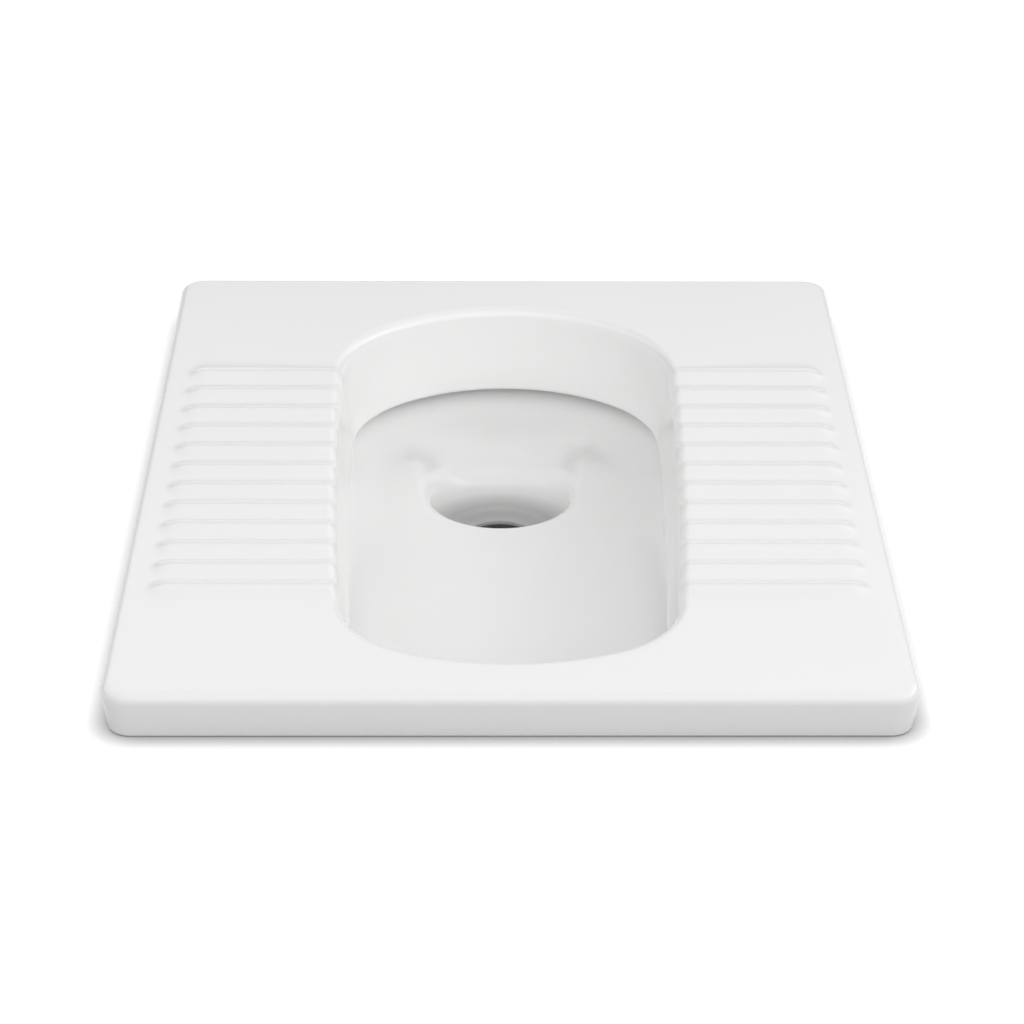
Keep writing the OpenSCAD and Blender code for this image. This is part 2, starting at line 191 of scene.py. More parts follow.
def outline_columns():
    """(point, outward normal) of every column of the right half, from the front to the back."""
    columns = []
    for arc in ARCS:
        first = 0 if not columns else 1
        for step in range(first, arc.steps + 1):
            share = step / arc.steps
            columns.append((arc.point(share), arc.normal(share)))
    return columns


COLUMNS = outline_columns()


def ring_point(column, half_w, half_l, radius):
    """Point of a column on a rectangle with round corners that is as far round as the column."""
    front_y = COLUMNS[FRONT_COLUMNS][0].y
    back_y = COLUMNS[SIDE_COLUMNS][0].y
    if FRONT_COLUMNS <= column <= SIDE_COLUMNS:
        return Vector((half_w, COLUMNS[column][0].y))
    at_back = column > SIDE_COLUMNS
    run = BACK_RUN if at_back else FRONT_RUN
    total = LAST_COLUMN - SIDE_COLUMNS if at_back else FRONT_COLUMNS
    step = column - SIDE_COLUMNS if at_back else FRONT_COLUMNS - column
    sign = 1 if at_back else -1
    start_y = back_y if at_back else front_y
    corner_y = sign * (half_l - radius)
    if step <= run:
        return Vector((half_w, start_y + (corner_y - start_y) * step / run))
    step -= run
    if step <= CORNER_COLUMNS:
        angle = math.radians(90 * step / CORNER_COLUMNS)
        return Vector(
            (
                half_w - radius + radius * math.cos(angle),
                corner_y + sign * radius * math.sin(angle),
            )
        )
    share = (step - CORNER_COLUMNS) / (total - run - CORNER_COLUMNS)
    return Vector(((half_w - radius) * (1 - share), sign * half_l))


# ---------------------------------------------------------------- the pan's closed section


def arc_points(cx, cz, radius, first, last, steps):
    """Points on an arc of the section, both ends included."""
    points = []
    for step in range(steps + 1):
        angle = math.radians(first + (last - first) * step / steps)
        points.append((cx + radius * math.cos(angle), cz + radius * math.sin(angle)))
    return points


def touch_angle(c1, r1, c2, r2):
    """Direction from c1 to its touching point with the line that rests on both circles."""
    dx, dz = c2[0] - c1[0], c2[1] - c1[1]
    reach = math.degrees(math.acos((r1 - r2) / math.hypot(dx, dz)))
    return math.degrees(math.atan2(dz, dx)) - reach


def line_points(start, end, steps):
    """Points of a straight run of the section, both ends left out."""
    return [
        (
            start[0] + (end[0] - start[0]) * step / steps,
            start[1] + (end[1] - start[1]) * step / steps,
        )
        for step in range(1, steps)
    ]


def cup_r(z):
    """Outer radius of the sump's cup at a level."""
    return SPIGOT_R + CUP_FLARE * (z - CUP_Z) / (FLOOR_Z - CUP_Z)


def pan_section():
    """Stations of the pan's closed section as (kind, first number, second number, glazed)."""
    lip = (LIP_R, PLATE_H - LIP_R)
    low = (CURTAIN_EDGE_R - CURTAIN_LEAN, PLATE_H - CURTAIN_DROP + CURTAIN_EDGE_R)
    root = (CURTAIN_ROOT_T, ROOF_Z)
    inside = touch_angle(lip, LIP_R, low, CURTAIN_EDGE_R)
    outside = touch_angle(low, CURTAIN_EDGE_R, root, 0)
    stations = []

    def add(kind, points, glazed=1.0):
        for a, b in points:
            stations.append((kind, a, b, glazed))

    # Floor of the bowl, its wall and the flush channel
    add("floor", [(1 - step / FLOOR_STEPS, 0) for step in range(1, FLOOR_STEPS)])
    add("bowl", [(INSET, FLOOR_Z), ((INSET + WALL_X) / 2, FLOOR_Z)])
    add("bowl", arc_points(WALL_X, WALL_Z, BOWL_WALL_R, -90, 0, 16))
    add("bowl", [(CHANNEL_REACH, 10.0)])
    add("swept", arc_points(CHANNEL_REACH - INNER_R, ROOF_Z - INNER_R, INNER_R, 0, 90, 3))
    # The rim's curtain, from its root over its lower edge to the lip
    add("swept", [root])
    edge = arc_points(low[0], low[1], CURTAIN_EDGE_R, outside, inside, 14)
    roll = arc_points(lip[0], lip[1], LIP_R, inside + 360, 90, 14)
    add("swept", line_points(root, edge[0], 3))
    add("swept", edge)
    add("swept", line_points(edge[-1], roll[0], 8))
    add("lip", roll)
    # The plate, its edge, the skirt and the foot
    add("plate", [(step / PLATE_STEPS, 0) for step in range(1, PLATE_STEPS)])
    top = (PLATE_CORNER_R - EDGE_R, PLATE_H - EDGE_R)
    draft = math.radians(SKIRT_DRAFT)
    low_x = top[0] + (
        EDGE_R - FOOT_R + math.sin(draft) * (FOOT_R - top[1])
    ) / math.cos(draft)
    shoulder = arc_points(top[0], top[1], EDGE_R, 90, -SKIRT_DRAFT, 10)
    foot = arc_points(low_x, FOOT_R, FOOT_R, -SKIRT_DRAFT, -90, 5)
    add("border", shoulder)
    add("border", line_points(shoulder[-1], foot[0], 3))
    add("border", foot[:-1])
    add("border", foot[-1:], 0.0)
    # Unglazed underside
    add("border", [(low_x - 3, 0)], 0.0)
    add("skirt", [(FOOT_CHAMFER, 0), (0, FOOT_CHAMFER), (0, ROOF_Z - INNER_R)], 0.0)
    add("skirt", [(-0.3 * INNER_R, ROOF_Z - 0.3 * INNER_R), (-INNER_R, ROOF_Z)], 0.0)
    add("bed", [(0.25, 0), (0.5, 0), (0.75, 0)], 0.0)
    outer_x = CHANNEL_REACH + WALL_T
    add("shell", [(outer_x, ROOF_Z), (outer_x, 11)], 0.0)
    add("shell", arc_points(WALL_X, WALL_Z, BOWL_WALL_R + WALL_T, 0, -90, 14), 0.0)
    add("shell", [(INSET, FLOOR_Z - WALL_T)], 0.0)
    add("under", [(0.4, 0), (0.75, 0), (0.93, 0), (1, 0)], 0.0)
    # Spigot and outlet
    end = arc_points(SPIGOT_R - 2, SPIGOT_Z + 2, 2, 0, -90, 3)
    cup_z = FLOOR_Z - WALL_T - 4
    add("drain", [(cup_r(cup_z), cup_z), (SPIGOT_R, CUP_Z)], 0.0)
    add("drain", [(SPIGOT_R, (CUP_Z + SPIGOT_Z) / 2)], 0.0)
    add("drain", end, 0.0)
    bore_r = SPIGOT_R - WALL_T
    add("drain", [(bore_r + 1, SPIGOT_Z), (bore_r, SPIGOT_Z + 1)])
    slope_r = OUTLET_HOLE_R + OUTLET_SLOPE
    add("drain", [(bore_r, CUP_Z - bore_r + slope_r), (slope_r, CUP_Z)])
    add("drain", [(OUTLET_HOLE_R, LEDGE_Z - OUTLET_EDGE_T)])
    hole_x, hole_z = OUTLET_HOLE_R + OUTLET_EDGE_R, LEDGE_Z - OUTLET_EDGE_R
    add("drain", arc_points(hole_x, hole_z, OUTLET_EDGE_R, 180, 90, 4))
    # Ledge, sloping wall and rolled mouth of the sump
    way_x, way_z = SUMP_WAY
    start = (SUMP_R - way_z * MOUTH_R, FLOOR_Z - (1 - way_x) * MOUTH_R)
    low = LEDGE_Z + (1 - way_x) * LEDGE_FILLET_R
    fillet_x = start[0] - (start[1] - low) * way_x / way_z - way_z * LEDGE_FILLET_R
    turn = math.degrees(math.atan2(way_x, way_z))
    add("sump", [((OUTLET_HOLE_R + fillet_x) / 2, LEDGE_Z)])
    fillet = arc_points(fillet_x, LEDGE_Z + LEDGE_FILLET_R, LEDGE_FILLET_R, -90, -turn, 6)
    add("sump", fillet)
    add("sump", line_points(fillet[-1], start, 3))
    add("sump", arc_points(SUMP_R, FLOOR_Z - MOUTH_R, MOUTH_R, 180 - turn, 90, 12))
    return stations


def smooth_share(value):
    """0 below 0, 1 above 1 and an even curve between."""
    value = min(max(value, 0.0), 1.0)
    return value * value * (3 - 2 * value)


def rib_rise(x, y):
    """Height of the foot ribs at a place on the plate, as a share of a rib's height."""
    end_x = PLATE_W / 2 - RIB_MARGIN - RIB_W / 2
    along = max(abs(x) - end_x, 0.0)
    rise = 0.0
    for i in range(RIB_COUNT):
        rib_y = FIRST_RIB_Y - i * RIB_PITCH - RIB_PITCH_STEP * i * (i - 1) / 2
        reach = math.hypot(along, y - rib_y) / (RIB_W / 2 + RIB_SPREAD)
        if reach < 1:
            rise = max(rise, (1 - reach * reach) ** RIB_POWER)
    return rise


def chute_depth(x, y):
    """How far the chute that leads down from the back wall lies below the flat floor."""
    slope = math.radians(CHUTE_FALL)
    flat_end = OPENING_BACK + WALL_X
    meets = flat_end + BOWL_WALL_R * math.sin(slope)
    if y >= meets or y <= OUTLET_Y:
        return 0.0
    brink = OUTLET_Y + CHUTE_BRINK * SUMP_R
    level = max(y, brink)
    wall = max(level - flat_end, 0.0)
    base = BOWL_WALL_R - math.sqrt(BOWL_WALL_R**2 - wall**2)
    line = BOWL_WALL_R * (1 - math.cos(slope)) - (meets - level) * math.tan(slope)
    half_w = CHUTE_HALF_W + CHUTE_FLARE * max(y - brink, 0.0)
    flank = min(max((half_w - abs(x - OUTLET_X)) / CHUTE_FLANK, 0.0), 1.0)
    share = (1 - (1 - flank) ** 2) * smooth_share((y - OUTLET_Y) / (CHUTE_FADE * SUMP_R))
    return (base - line) * share


def sunk(point, share=1.0):
    """Lowers a point of the bowl, still unturned, into the chute."""
    return point - Vector((0, 0, chute_depth(point.x, point.y) * share))


def rolled_mouth(radius, z, heading):
    """The sump's radius and level with its mouth rolled wider towards the back."""
    way_x, way_z = SUMP_WAY
    gain = 1 + BACK_ROLL * smooth_share((math.sin(heading) + ROLL_LEAD) / (1 + ROLL_LEAD))
    corner = SUMP_R - MOUTH_R * (way_z - (1 - way_x) * way_x / way_z)
    top = FLOOR_Z - (1 - way_x) * MOUTH_R
    low = LEDGE_Z + (1 - way_x) * LEDGE_FILLET_R
    if z > top - 1e-6:
        return corner + (radius - corner) * gain, FLOOR_Z + (z - FLOOR_Z) * gain
    if z < low:
        return radius, z
    drop = (z - low) / (top - low) * (FLOOR_Z - top) * (gain - 1)
    return radius - drop * way_x / way_z, z - drop


def fallen(point, share):
    """Turns a point of the bowl with its floor, which falls towards the back."""
    angle = math.radians(FLOOR_FALL) * share
    dy, dz = point.y - FALL_Y, point.z - FLOOR_Z
    return Vector(
        (
            point.x,
            FALL_Y + math.cos(angle) * dy + math.sin(angle) * dz,
            FLOOR_Z - math.sin(angle) * dy + math.cos(angle) * dz,
        )
    )


def tilted_share(z):
    """How much of the floor's tilt a level of the bowl's wall has."""
    return 1 - min(max((z - TILTED_UP_TO) / TILT_RUN, 0.0), 1.0)


def station_place(station, column, side):
    """Where a station of the section stands at a column, in millimetres."""
    kind, a, b, _ = station
    outline, normal = COLUMNS[column]
    outline = Vector((outline.x * side, outline.y))
    normal = Vector((normal.x * side, normal.y))

    def swept(x, z):
        at = outline + normal * x
        return Vector((at.x, at.y, z))

    def ring(half_w, half_l, radius, z):
        at = ring_point(column, half_w, half_l, radius)
        return Vector((at.x * side, at.y, z))

    if kind == "swept":
        return swept(a, b)
    if kind == "lip":
        point = swept(a, b)
        turn = math.degrees(math.atan2(b - (PLATE_H - LIP_R), a - LIP_R))
        share = 1 - smooth_share((turn % 360 - 90) / RIB_LIP_TURN)
        lift = RIB_H * rib_rise(point.x, point.y) * share
        up = Vector((normal.x * (a - LIP_R), normal.y * (a - LIP_R), b - PLATE_H + LIP_R))
        return point + up.normalized() * lift
    if kind == "plate":
        start = outline + normal * LIP_R
        inner = ring(PLATE_W / 2 - EDGE_R, PLATE_L / 2 - EDGE_R, PLATE_CORNER_R - EDGE_R, 0)
        at = start.lerp(Vector((inner.x, inner.y)), a)
        return Vector((at.x, at.y, PLATE_H + RIB_H * rib_rise(at.x, at.y)))
    if kind == "border":
        inset = PLATE_CORNER_R - a
        return ring(PLATE_W / 2 - inset, PLATE_L / 2 - inset, a, b)
    if kind == "skirt":
        inset = SKIRT_T - a
        return ring(PLATE_W / 2 - inset, PLATE_L / 2 - inset, 11 + a, b)
    if kind in ("bowl", "shell"):
        share = tilted_share(b)
        point = fallen(sunk(swept(a, b), share), share)
        if kind == "shell":
            give = SHELL_FRONT_GIVE * smooth_share((-3 - point.z) / 10)
            point.y = max(point.y, SHELL_FRONT - give)
        return point
    if kind == "bed":
        start = station_place(("skirt", -INNER_R, ROOF_Z, 0), column, side)
        end = station_place(("shell", CHANNEL_REACH + WALL_T, ROOF_Z, 0), column, side)
        return start.lerp(end, a)

    # What is left lies between the bowl's wall and the sump, or round the sump's own axis
    inner = swept(INSET, 0)
    heading = math.atan2(inner.y - OUTLET_Y, inner.x - OUTLET_X)

    def circle(radius, z):
        return Vector(
            (
                OUTLET_X + radius * math.cos(heading),
                OUTLET_Y + radius * math.sin(heading),
                z,
            )
        )

    if kind == "sump":
        low, high = LEDGE_Z + LEDGE_FILLET_R, FLOOR_Z - MOUTH_R
        radius, level = rolled_mouth(a, b, heading)
        share = min(max((level - low) / (high - low), 0.0), 1.0)
        return fallen(sunk(circle(radius, level), share), 1)
    if kind == "drain":
        high, low = FLOOR_Z - WALL_T, CUP_Z
        return sunk(circle(a, b), min(max((b - low) / (high - low), 0.0), 1.0))
    if kind == "floor":
        start = swept(INSET, FLOOR_Z)
        return fallen(sunk(start.lerp(circle(*rolled_mouth(SUMP_R, FLOOR_Z, heading)), a)), 1)
    start = swept(INSET, FLOOR_Z - WALL_T)
    return fallen(sunk(start.lerp(circle(cup_r(FLOOR_Z - WALL_T), FLOOR_Z - WALL_T), a)), 1)


# ---------------------------------------------------------------- modelling helpers


def clear_selection():
    """Leaves nothing selected and nothing active."""
    if bpy.context.object and bpy.context.object.mode != "OBJECT":
        bpy.ops.object.mode_set(mode="OBJECT")
    bpy.ops.object.select_all(action="DESELECT")
    bpy.context.view_layer.objects.active = None


def pick(piece):
    """Selects one piece alone and makes it active."""
    clear_selection()
    piece.select_set(True)
    bpy.context.view_layer.objects.active = piece


def edit_all():
    """Opens the active piece for editing with all of it selected."""
    bpy.ops.object.mode_set(mode="EDIT")
    bpy.ops.mesh.select_all(action="SELECT")


def apply_modifier(piece, kind, **settings):
    """Adds a modifier to a piece and applies it."""
    pick(piece)
    modifier = piece.modifiers.new(kind.title(), kind)
    for name, value in settings.items():
        setattr(modifier, name, value)
    bpy.ops.object.modifier_apply(modifier=modifier.name)


def section_loop(name, points):
    """A closed loop of edges through points in metres, as the start of a spun piece."""
    clear_selection()
    bpy.ops.mesh.primitive_circle_add(vertices=len(points), radius=0.1, fill_type="NOTHING")
    piece = bpy.context.object
    piece.name = name
    piece.data.name = name
    for vertex, point in zip(piece.data.vertices, points, strict=True):
        vertex.co = point
    return piece


def spin(steps, degrees, centre, axis):
    """Spins what is selected in edit mode and leaves the last copy selected."""
    bpy.ops.mesh.spin(
        steps=steps,
        angle=-math.radians(degrees),
        center=centre,
        axis=axis,
        use_auto_merge=False,
        dupli=False,
    )


def seated(piece):
    """Moves a piece drawn about the middle of the plate to its place in the frame."""
    pick(piece)
    piece.location = (0, SEAT * MM, 0)
    bpy.ops.object.transform_apply(location=True, rotation=True, scale=True)


def face_outwards(piece, merge=1e-6):
    """Closes seams and points every face outwards."""
    pick(piece)
    edit_all()
    bpy.ops.mesh.remove_doubles(threshold=merge)
    bpy.ops.mesh.delete_loose()
    bpy.ops.mesh.select_all(action="SELECT")
    bpy.ops.mesh.normals_make_consistent(inside=False)
    bpy.ops.object.mode_set(mode="OBJECT")


def smooth_by_angle(piece, degrees=32):
    """Smooth shading, with sharp edges past an angle."""
    pick(piece)
    bpy.ops.object.shade_smooth_by_angle(angle=math.radians(degrees))


def turned(name, profile, centre, direction, steps=96):
    """A closed profile of (radius, height) in millimetres spun round an axis in metres."""
    axis = Vector(direction).normalized()
    across = axis.orthogonal().normalized()
    centre = Vector(centre)
    points = [centre + (across * r + axis * h) * MM for r, h in profile]
    piece = section_loop(name, points)
    edit_all()
    spin(steps, 360, centre, axis)
    bpy.ops.object.mode_set(mode="OBJECT")
    face_outwards(piece)
    return piece


def block(middle, size):
    """A block with rounded edges, its middle and size in millimetres."""
    clear_selection()
    bpy.ops.mesh.primitive_cube_add(
        size=1,
        location=Vector(middle) * MM,
        scale=Vector(size) * MM,
    )
    piece = bpy.context.object
    bpy.ops.object.transform_apply(location=True, rotation=True, scale=True)
    edit_all()
    bpy.ops.mesh.bevel(offset=BLOCK_BEVEL * MM, segments=2, affect="EDGES")
    bpy.ops.object.mode_set(mode="OBJECT")
    return piece


def rounded_profile(corners, radius, steps=3):
    """Corner points with every corner rounded, in millimetres, as closed profile points."""
    points = []
    count = len(corners)
    for i, corner in enumerate(corners):
        here = Vector(corner)
        before, after = Vector(corners[i - 1]) - here, Vector(corners[(i + 1) % count]) - here
        reach = min(radius, before.length * 0.45, after.length * 0.45)
        start, end = here + before.normalized() * reach, here + after.normalized() * reach
        for step in range(steps + 1):
            t = step / steps
            points.append(start * (1 - t) ** 2 + here * 2 * t * (1 - t) + end * t**2)
    return [(p.x, p.y) for p in points]


# ---------------------------------------------------------------- shader helpers


class Wire:
    """An output socket that can be used in sums of Python numbers and other wires."""

    def __init__(self, shader, socket):
        self.shader = shader
        self.socket = socket

    def maths(self, operation, *values):
        node = self.shader.node("ShaderNodeMath", {"operation": operation}, values)
        return Wire(self.shader, node.outputs[0])

    def __add__(self, other):
        return self.maths("ADD", self, other)

    def __radd__(self, other):
        return self.maths("ADD", other, self)

    def __sub__(self, other):
        return self.maths("SUBTRACT", self, other)

    def __rsub__(self, other):
        return self.maths("SUBTRACT", other, self)

    def __mul__(self, other):
        return self.maths("MULTIPLY", self, other)

    def __rmul__(self, other):
        return self.maths("MULTIPLY", other, self)

    def between(self, low, high):
        """0 at or under low, 1 at or over high."""
        node = self.shader.node(
            "ShaderNodeMapRange",
            {"clamp": True},
            {"Value": self, "From Min": low, "From Max": high},
        )
        return Wire(self.shader, node.outputs[0])


class Shader:
    """Builds one material's nodes."""

    def __init__(self, name):
        self.material = bpy.data.materials.new(name)
        self.material.use_nodes = True
        self.tree = self.material.node_tree
        self.principled = self.tree.nodes["Principled BSDF"]
        self.output = self.tree.nodes["Material Output"]

    def node(self, kind, settings=None, inputs=None):
        node = self.tree.nodes.new(kind)
        for name, value in (settings or {}).items():
            setattr(node, name, value)
        pairs = inputs.items() if isinstance(inputs, dict) else enumerate(inputs or ())
        for key, value in pairs:
            self.join(node.inputs[key], value)
        return node

    def join(self, socket, value):
        if isinstance(value, Wire):
            self.tree.links.new(value.socket, socket)
        else:
            socket.default_value = value

    def place(self):
        """The piece's own coordinates."""
        return Wire(self, self.node("ShaderNodeTexCoord").outputs["Object"])

    def noise(self, scale, detail=2.0, roughness=0.5):
        node = self.node(
            "ShaderNodeTexNoise",
            {},
            {"Vector": self.place(), "Scale": scale, "Detail": detail, "Roughness": roughness},
        )
        return Wire(self, node.outputs["Fac"])

    def attribute(self, name):
        node = self.node("ShaderNodeAttribute", {"attribute_name": name})
        return Wire(self, node.outputs["Fac"])

    def colours(self, factor, first, second):
        node = self.node(
            "ShaderNodeMix",
            {"data_type": "RGBA"},
            {0: factor, 6: first, 7: second},
        )
        return Wire(self, node.outputs[2])

    def bump(self, height, strength, distance, normal=None):
        inputs = {"Height": height, "Strength": strength, "Distance": distance}
        if normal is not None:
            inputs["Normal"] = normal
        node = self.node("ShaderNodeBump", {}, inputs)
        return Wire(self, node.outputs["Normal"])

    def surface(self, **values):
        for name, value in values.items():
            self.join(self.principled.inputs[name.replace("_", " ")], value)
        return self.material


def rgba(colour, gain=1.0):
    """A solid colour made lighter or darker by a gain."""
    return (colour[0] * gain, colour[1] * gain, colour[2] * gain, 1.0)


def dress(piece, material, node_name):
    """Puts a piece in its place, gives it its material and ties it to its CAD node."""
    seated(piece)
    piece.data.materials.clear()
    piece.data.materials.append(material)
    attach(piece, "root")
    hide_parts(node_name)


# ---------------------------------------------------------------- settings


COLOUR = {"subtype": "COLOR", "size": 3, "min": 0, "max": 1}


class GlazeSettings(bpy.types.PropertyGroup):
    """The china's glaze and body."""

    glaze_colour: bpy.props.FloatVectorProperty(
        name="Glaze colour",
        description="Colour of the glaze",
        default=(0.945, 0.945, 0.941),
        **COLOUR,
    )
    # Painted shade: how far the glaze is darkened towards black at the bottom of the sump and in
    # the outlet
    sump_painted_shade: bpy.props.FloatProperty(
        name="Sump tone",
        description="How much duller the glaze is at the bottom of the sump",
        min=0,
        max=1,
        default=0.42,
    )
    body_colour: bpy.props.FloatVectorProperty(
        name="Body colour",
        description="Colour of the unglazed china underneath",
        default=(0.74, 0.71, 0.65),
        **COLOUR,
    )
    glaze_roughness: bpy.props.FloatProperty(
        name="Glaze roughness",
        description="Roughness of the glaze's surface",
        subtype="FACTOR",
        min=0,
        max=1,
        default=0.09,
    )
    ripple: bpy.props.FloatProperty(
        name="Ripple",
        description="Height of the glaze's faint ripples",
        subtype="DISTANCE",
        unit="LENGTH",
        min=0,
        max=0.001,
        default=0.00012,
    )


class FittingSettings(bpy.types.PropertyGroup):
    """The rubber and plastic fittings."""

    rubber_colour: bpy.props.FloatVectorProperty(
        name="Rubber colour",
        description="Colour of the bush and the seal",
        default=(0.018, 0.018, 0.02),
        **COLOUR,
    )
    plastic_colour: bpy.props.FloatVectorProperty(
        name="Plastic colour",
        description="Colour of the drain connector",
        default=(0.36, 0.37, 0.38),
        **COLOUR,
    )


class StudioSettings(bpy.types.PropertyGroup):
    """Floor, lamps and camera."""

    floor_colour: bpy.props.FloatVectorProperty(
        name="Floor colour",
        description="Colour of the studio floor",
        default=(0.5, 0.5, 0.5),
        **COLOUR,
    )
    right_power: bpy.props.FloatProperty(
        name="Right lamp",
        description="Power of the soft lamp at the right",
        unit="POWER",
        min=0,
        default=2.6,
    )
    left_power: bpy.props.FloatProperty(
        name="Left lamp",
        description="Power of the soft lamp at the left",
        unit="POWER",
        min=0,
        default=1.6,
    )
    front_power: bpy.props.FloatProperty(
        name="Front lamp",
        description="Power of the soft lamp high in front",
        unit="POWER",
        min=0,
        default=3.6,
    )
    room_strength: bpy.props.FloatProperty(
        name="Room light",
        description="Strength of the room's soft light",
        min=0,
        default=1,
    )
    focal_length: bpy.props.FloatProperty(
        name="Focal length",
        description="Focal length of the camera in millimetres, for a sensor of 36 mm",
        min=10,
        default=103.5,
    )


# ---------------------------------------------------------------- the pan


def pan_body(stations):
    """Spins the pan's closed section along the arcs of its opening and mirrors it."""
    front = ARCS[0]
    offsets = [INSET + SPUN_BAND * i / len(stations) for i in range(len(stations))]
    points = []
    for offset, station in zip(offsets, stations, strict=True):
        points.append(Vector((0, (front.centre.y - front.radius - offset) * MM, station[2] * MM)))
    piece = section_loop("pan_china", points)
    number = piece.data.attributes.new("station", "INT", "POINT")
    for i in range(len(stations)):
        number.data[i].value = i
    edit_all()
    for arc in ARCS:
        centre = (arc.centre.x * MM, arc.centre.y * MM, 0)
        spin(arc.steps, arc.last - arc.first, centre, (0, 0, 1))
    bpy.ops.object.mode_set(mode="OBJECT")

    mesh = piece.data
    number = mesh.attributes["station"]
    column = mesh.attributes.new("column", "INT", "POINT")
    for vertex in mesh.vertices:
        i = vertex.index // len(stations)
        place, normal = COLUMNS[i]
        spun = place + normal * offsets[number.data[vertex.index].value]
        if (vertex.co.xy - spun * MM).length > 0.4 * MM:
            raise RuntimeError("the spun columns of the pan are out of order")
        column.data[vertex.index].value = i
        if i in (0, LAST_COLUMN):
            vertex.co.x = 0
    apply_modifier(piece, "MIRROR", use_mirror_merge=True, merge_threshold=1e-6)

    mesh = piece.data
    for name in ("glaze", "sump_depth"):
        mesh.attributes.new(name, "FLOAT", "POINT")
    glaze, depth = mesh.attributes["glaze"], mesh.attributes["sump_depth"]
    number, column = mesh.attributes["station"], mesh.attributes["column"]
    for vertex in mesh.vertices:
        i = number.data[vertex.index].value
        side = -1 if vertex.co.x < 0 else 1
        glaze.data[vertex.index].value = stations[i][3]
        # Painted shade in the sump and outlet, a share that grows with depth
        if stations[i][0] in ("sump", "drain"):
            share = (FLOOR_Z - MOUTH_R - stations[i][2]) / (LEDGE_DEPTH - MOUTH_R)
            depth.data[vertex.index].value = smooth_share(share)
        vertex.co = station_place(stations[i], column.data[vertex.index].value, side) * MM
    mesh.attributes.remove(mesh.attributes["column"])
    mesh.attributes.remove(mesh.attributes["station"])
    face_outwards(piece)
    return piece


def back_wall_middle(x, z):
    """How far back the middle of the bowl's back wall is, beside and above the plate's middle."""
    back = ARCS[4]
    drop = min(z - WALL_Z, 0)
    reach = WALL_X + math.sqrt((BOWL_WALL_R + WALL_T / 2) ** 2 - drop**2)
    return back.centre.y + math.sqrt((back.radius + reach) ** 2 - (x - back.centre.x) ** 2)


def horn_and_webs():
    """The flush inlet's horn and the webs under the plate, as one set of solids."""
    mouth_y = PLATE_L / 2 + HORN_OUT
    length = mouth_y - OPENING_BACK - CURTAIN_ROOT_T
    horn = turned(
        "horn",
        [(0, 0), (HORN_R, 0)]
        + arc_points(HORN_R - 3, length - 3, 3, 0, 90, 5)
        + [(0, length)],
        (0, (mouth_y - length) * MM, INLET_Z * MM),
        (0, 1, 0),
    )
    for vertex in horn.data.vertices:
        if vertex.co.y < (mouth_y - length + 1) * MM:
            vertex.co.y = back_wall_middle(vertex.co.x / MM, vertex.co.z / MM) * MM
    side = ARCS[2]
    parts = [horn]
    for sign in (-1, 1):
        for place in WEB_PLACES:
            y = place * PLATE_L
            inner = side.centre.x + math.sqrt(side.radius**2 - (y - side.centre.y) ** 2)
            inner += CHANNEL_REACH + WALL_T / 2
            outer = PLATE_W / 2 - SKIRT_T / 2
            high = PLATE_H - PLATE_T / 2
            parts.append(
                block(
                    (sign * (inner + outer) / 2, y, (WEB_LIFT + high) / 2),
                    (outer - inner, WEB_T, high - WEB_LIFT),
                )
            )
    clear_selection()
    for part in parts:
        part.select_set(True)
    bpy.context.view_layer.objects.active = horn
    bpy.ops.object.join()
    return horn


def water_way():
    """The stepped bore through the horn and the bowl's wall."""
    mouth_y = PLATE_L / 2 + HORN_OUT
    start = OPENING_BACK + CURTAIN_ROOT_T + 2
    step = mouth_y - SOCKET_DEPTH - start
    length = mouth_y - start + 4
    return turned(
        "bore",
        [(0, 0), (WATER_WAY_R, 0), (WATER_WAY_R, step), (SOCKET_R, step), (SOCKET_R, length)]
        + [(0, length)],
        (0, start * MM, INLET_Z * MM),
        (0, 1, 0),
    )


def horn_notch():
    """What is cut out of the skirt's foot to clear the horn."""
    return block(
        (0, (PLATE_L - SKIRT_T) / 2, NOTCH_H / 2 - 1),
        (2 * (HORN_R + NOTCH_GAP), SKIRT_T + 4, NOTCH_H + 2),
    )


def remove_piece(piece):
    """Removes a helper piece and its mesh."""
    mesh = piece.data
    bpy.data.objects.remove(piece)
    bpy.data.meshes.remove(mesh)


def china_material(look):
    """White glaze over a china body, bare and matt underneath, with painted shade darkening the
    glaze down the sump and outlet.
    """
    shader = Shader("china_glaze")
    glazed = shader.attribute("glaze").between(0.35, 0.65)
    cloud = shader.noise(5.0, 3.0)
    peel = shader.noise(38.0, 2.0)
    grain = shader.noise(900.0, 2.0)
    glaze = shader.colours(
        cloud.between(0.3, 0.7), rgba(look.glaze_colour, 0.985), rgba(look.glaze_colour)
    )
    # Painted shade: the glaze is mixed towards black with depth in the sump and outlet
    painted_sump_shade = shader.attribute("sump_depth") * look.sump_painted_shade
    glaze = shader.colours(painted_sump_shade, glaze, (0, 0, 0, 1))
    body = shader.colours(
        grain.between(0.3, 0.75), rgba(look.body_colour, 0.9), rgba(look.body_colour)
    )
    smear = (cloud - 0.5) * 0.05
    rough = glazed * (smear + look.glaze_roughness) + (1 - glazed) * (grain * 0.2 + 0.6)
    ripple = shader.bump(peel, 0.5, look.ripple)
    normal = shader.bump(grain * (1 - glazed), 0.6, 0.0003, ripple)
    return shader.surface(
        Base_Color=shader.colours(glazed, body, glaze),
        Roughness=rough,
        IOR=1.5,
        Normal=normal,
    )


